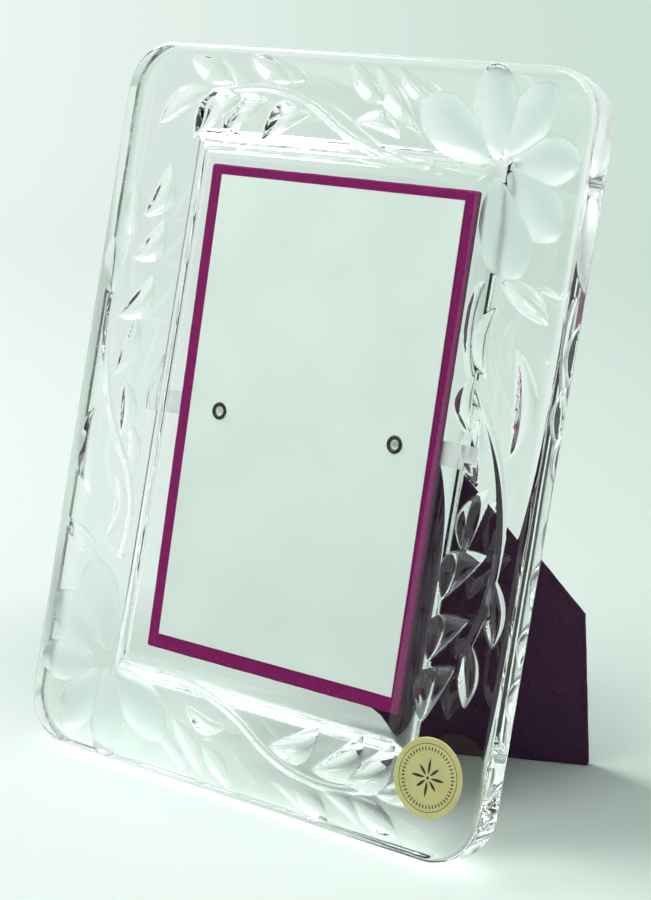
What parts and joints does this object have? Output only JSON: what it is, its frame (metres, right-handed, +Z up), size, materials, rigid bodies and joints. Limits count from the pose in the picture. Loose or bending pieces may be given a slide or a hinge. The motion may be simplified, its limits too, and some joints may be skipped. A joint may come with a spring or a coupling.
{
  "type": "easel picture frame",
  "caption": "Standing picture frame: a cut crystal slab with a photo pocket, a velvet backing board held by turning clips, and a velvet easel leg on a slanted hinge.",
  "frame": {"origin": "on the ground, under the middle of the standing frame's box in width and depth", "axes": "+X to the viewer's right, +Y from the window towards the easel leg, +Z up"},
  "size_m": [0.1676, 0.0912, 0.2159],
  "materials": {
    "crystal_frame": "polished clear lead crystal with matt ground petals",
    "foil_seal": "satin gold foil",
    "liner_paper": "pale mint coated paper",
    "board_core": "grey brown card",
    "board_velvet": "maroon velvet",
    "eyelet_left": "bright nickel",
    "eyelet_right": "bright nickel",
    "clip_left": "nickel plated steel",
    "clip_right": "nickel plated steel",
    "hinge_fixed_leaf": "nickel plated steel",
    "hinge_moving_leaf": "nickel plated steel",
    "hinge_pin": "steel wire",
    "board_rivets": "nickel plated steel",
    "leg_rivets": "nickel plated steel",
    "leg_core": "grey brown card",
    "leg_velvet": "maroon velvet"
  },
  "bodies": {
    "frame": {"crystal_frame": "crystal_frame", "foil_seal": "foil_seal", "liner_paper": "liner_paper", "board_core": "board_core", "board_velvet": "board_velvet", "eyelet_left": "eyelet_left", "eyelet_right": "eyelet_right", "hinge_fixed_leaf": "hinge_fixed_leaf", "hinge_pin": "hinge_pin", "board_rivets": "board_rivets"},
    "leg": {"leg_core": "leg_core", "leg_velvet": "leg_velvet", "hinge_moving_leaf": "hinge_moving_leaf", "leg_rivets": "leg_rivets"},
    "clip_left": {"clip_left": "clip_left"},
    "clip_right": {"clip_right": "clip_right"}
  },
  "joints": [
    {"name": "leg_hinge", "type": "hinge", "parent": "frame", "child": "leg", "pos_m": [-0.0091, -0.00751, 0.09431], "axis": [0.7071, 0.1682, 0.6868], "range_deg": [-32.4, 0]},
    {"name": "clip_left_turn", "type": "hinge", "parent": "frame", "child": "clip_left", "pos_m": [-0.03095, -0.00571, 0.10777], "axis": [0, 0.9713, -0.2379], "range_deg": [0, 90]},
    {"name": "clip_right_turn", "type": "hinge", "parent": "frame", "child": "clip_right", "pos_m": [0.03355, -0.00571, 0.10777], "axis": [0, -0.9713, 0.2379], "range_deg": [0, 90]}
  ]
}
